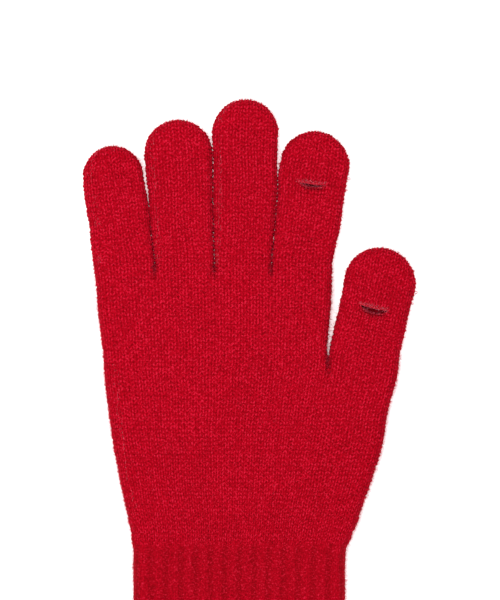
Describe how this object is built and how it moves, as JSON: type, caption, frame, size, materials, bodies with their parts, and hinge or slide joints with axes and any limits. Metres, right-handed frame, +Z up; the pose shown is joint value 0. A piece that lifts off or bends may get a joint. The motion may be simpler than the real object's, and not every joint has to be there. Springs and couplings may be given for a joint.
{
  "type": "touchscreen glove",
  "caption": "Right-hand seamless knitted glove with a ribbed cuff and fingertip slits on the index finger and thumb, whose caps fold back to free the tips.",
  "frame": {"origin": "middle of the wrist line, where cuff and palm meet, on the surface that the glove's back lies on", "axes": "+Y towards the fingertips, +X towards the thumb, +Z up out of the palm side"},
  "size_m": [0.1279, 0.2366, 0.0099],
  "materials": {
    "plain_knit": "brushed plain knit in one red yarn, soft fuzz",
    "rib_knit": "ribbed knit in the same red yarn",
    "bound_edge": "bound-off knit edge, slightly frayed",
    "overlock": "overlocked thread edge",
    "elastic": "covered elastic thread"
  },
  "bodies": {
    "hand": {"palm_body": "plain_knit", "knuckle_band": "plain_knit", "wrist_sleeve": "plain_knit", "thumb_base_sleeve": "plain_knit", "little_base_sleeve": "plain_knit", "ring_base_sleeve": "plain_knit", "middle_base_sleeve": "plain_knit", "index_base_sleeve": "plain_knit"},
    "cuff": {"rib_cuff": "rib_knit", "cuff_elastic": "elastic", "cuff_edge": "overlock"},
    "little_lower": {"little_first": "plain_knit", "little_middle_sleeve": "plain_knit"},
    "little_upper": {"little_second": "plain_knit", "little_tip_sleeve": "plain_knit"},
    "little_end": {"little_tip": "plain_knit"},
    "ring_lower": {"ring_first": "plain_knit", "ring_middle_sleeve": "plain_knit"},
    "ring_upper": {"ring_second": "plain_knit", "ring_tip_sleeve": "plain_knit"},
    "ring_end": {"ring_tip": "plain_knit"},
    "middle_lower": {"middle_first": "plain_knit", "middle_middle_sleeve": "plain_knit"},
    "middle_upper": {"middle_second": "plain_knit", "middle_tip_sleeve": "plain_knit"},
    "middle_end": {"middle_tip": "plain_knit"},
    "index_lower": {"index_first": "plain_knit", "index_middle_sleeve": "plain_knit"},
    "index_upper": {"index_second": "plain_knit", "index_tip_sleeve": "plain_knit"},
    "index_end": {"index_tip": "plain_knit", "index_cap_hinge": "plain_knit", "index_slit_lower_edge": "bound_edge"},
    "index_cap": {"index_cap": "plain_knit", "index_slit_upper_edge": "bound_edge"},
    "thumb_lower": {"thumb_first": "plain_knit", "thumb_tip_sleeve": "plain_knit"},
    "thumb_end": {"thumb_tip": "plain_knit", "thumb_cap_hinge": "plain_knit", "thumb_slit_lower_edge": "bound_edge"},
    "thumb_cap": {"thumb_cap": "plain_knit", "thumb_slit_upper_edge": "bound_edge"}
  },
  "joints": [
    {"name": "wrist_fold", "type": "hinge", "parent": "hand", "child": "cuff", "pos_m": [0, 0, 0.0047], "axis": [-1, 0, 0], "range_deg": [0, 70], "deforming": ["wrist_sleeve"]},
    {"name": "little_base_bend", "type": "hinge", "parent": "hand", "child": "little_lower", "pos_m": [-0.0445, 0.10994, 0.0037], "axis": [1, 0, 0], "range_deg": [0, 70], "deforming": ["little_base_sleeve"]},
    {"name": "little_middle_bend", "type": "hinge", "parent": "little_lower", "child": "little_upper", "pos_m": [-0.04596, 0.12224, 0.0037], "axis": [1, 0, 0], "range_deg": [0, 80], "deforming": ["little_middle_sleeve"]},
    {"name": "little_tip_bend", "type": "hinge", "parent": "little_upper", "child": "little_end", "pos_m": [-0.04754, 0.13344, 0.0037], "axis": [1, 0, 0], "range_deg": [0, 44], "deforming": ["little_tip_sleeve"]},
    {"name": "ring_base_bend", "type": "hinge", "parent": "hand", "child": "ring_lower", "pos_m": [-0.02115, 0.10994, 0.0037], "axis": [1, 0, 0], "range_deg": [0, 70], "deforming": ["ring_base_sleeve"]},
    {"name": "ring_middle_bend", "type": "hinge", "parent": "ring_lower", "child": "ring_upper", "pos_m": [-0.02204, 0.12594, 0.0037], "axis": [1, 0, 0], "range_deg": [0, 80], "deforming": ["ring_middle_sleeve"]},
    {"name": "ring_tip_bend", "type": "hinge", "parent": "ring_upper", "child": "ring_end", "pos_m": [-0.02293, 0.13984, 0.0037], "axis": [1, 0, 0], "range_deg": [0, 44], "deforming": ["ring_tip_sleeve"]},
    {"name": "middle_base_bend", "type": "hinge", "parent": "hand", "child": "middle_lower", "pos_m": [0.00125, 0.10994, 0.0037], "axis": [1, 0, 0], "range_deg": [0, 70], "deforming": ["middle_base_sleeve"]},
    {"name": "middle_middle_bend", "type": "hinge", "parent": "middle_lower", "child": "middle_upper", "pos_m": [0.00164, 0.12894, 0.0037], "axis": [1, 0, 0], "range_deg": [0, 80], "deforming": ["middle_middle_sleeve"]},
    {"name": "middle_tip_bend", "type": "hinge", "parent": "middle_upper", "child": "middle_end", "pos_m": [0.00202, 0.14584, 0.0037], "axis": [1, 0, 0], "range_deg": [0, 44], "deforming": ["middle_tip_sleeve"]},
    {"name": "index_base_bend", "type": "hinge", "parent": "hand", "child": "index_lower", "pos_m": [0.02425, 0.10994, 0.0037], "axis": [1, 0, 0], "range_deg": [0, 70], "deforming": ["index_base_sleeve"]},
    {"name": "index_middle_bend", "type": "hinge", "parent": "index_lower", "child": "index_upper", "pos_m": [0.02566, 0.12124, 0.0037], "axis": [1, 0, 0], "range_deg": [0, 80], "deforming": ["index_middle_sleeve"]},
    {"name": "index_tip_bend", "type": "hinge", "parent": "index_upper", "child": "index_end", "pos_m": [0.02719, 0.13134, 0.0037], "axis": [1, 0, 0], "range_deg": [0, 44], "deforming": ["index_tip_sleeve"]},
    {"name": "index_cap_fold", "type": "hinge", "parent": "index_end", "child": "index_cap", "pos_m": [0.02838, 0.13853, 0], "axis": [-0.9914, 0.1305, 0], "range_deg": [0, 165], "deforming": ["index_cap_hinge"]},
    {"name": "thumb_base_bend", "type": "hinge", "parent": "hand", "child": "thumb_lower", "pos_m": [0.04805, 0.0735, 0.0037], "axis": [1, 0, 0], "range_deg": [0, 40], "deforming": ["thumb_base_sleeve"]},
    {"name": "thumb_tip_bend", "type": "hinge", "parent": "thumb_lower", "child": "thumb_end", "pos_m": [0.05055, 0.08307, 0.0037], "axis": [1, 0, 0], "range_deg": [0, 55], "deforming": ["thumb_tip_sleeve"]},
    {"name": "thumb_cap_fold", "type": "hinge", "parent": "thumb_end", "child": "thumb_cap", "pos_m": [0.05215, 0.09096, 0], "axis": [-0.9774, 0.2113, 0], "range_deg": [0, 165], "deforming": ["thumb_cap_hinge"]}
  ],
  "couplings": [
    {"joint": "little_tip_bend", "follows": "little_middle_bend", "ratio": 0.55},
    {"joint": "ring_tip_bend", "follows": "ring_middle_bend", "ratio": 0.55},
    {"joint": "middle_tip_bend", "follows": "middle_middle_bend", "ratio": 0.55},
    {"joint": "index_tip_bend", "follows": "index_middle_bend", "ratio": 0.55}
  ]
}
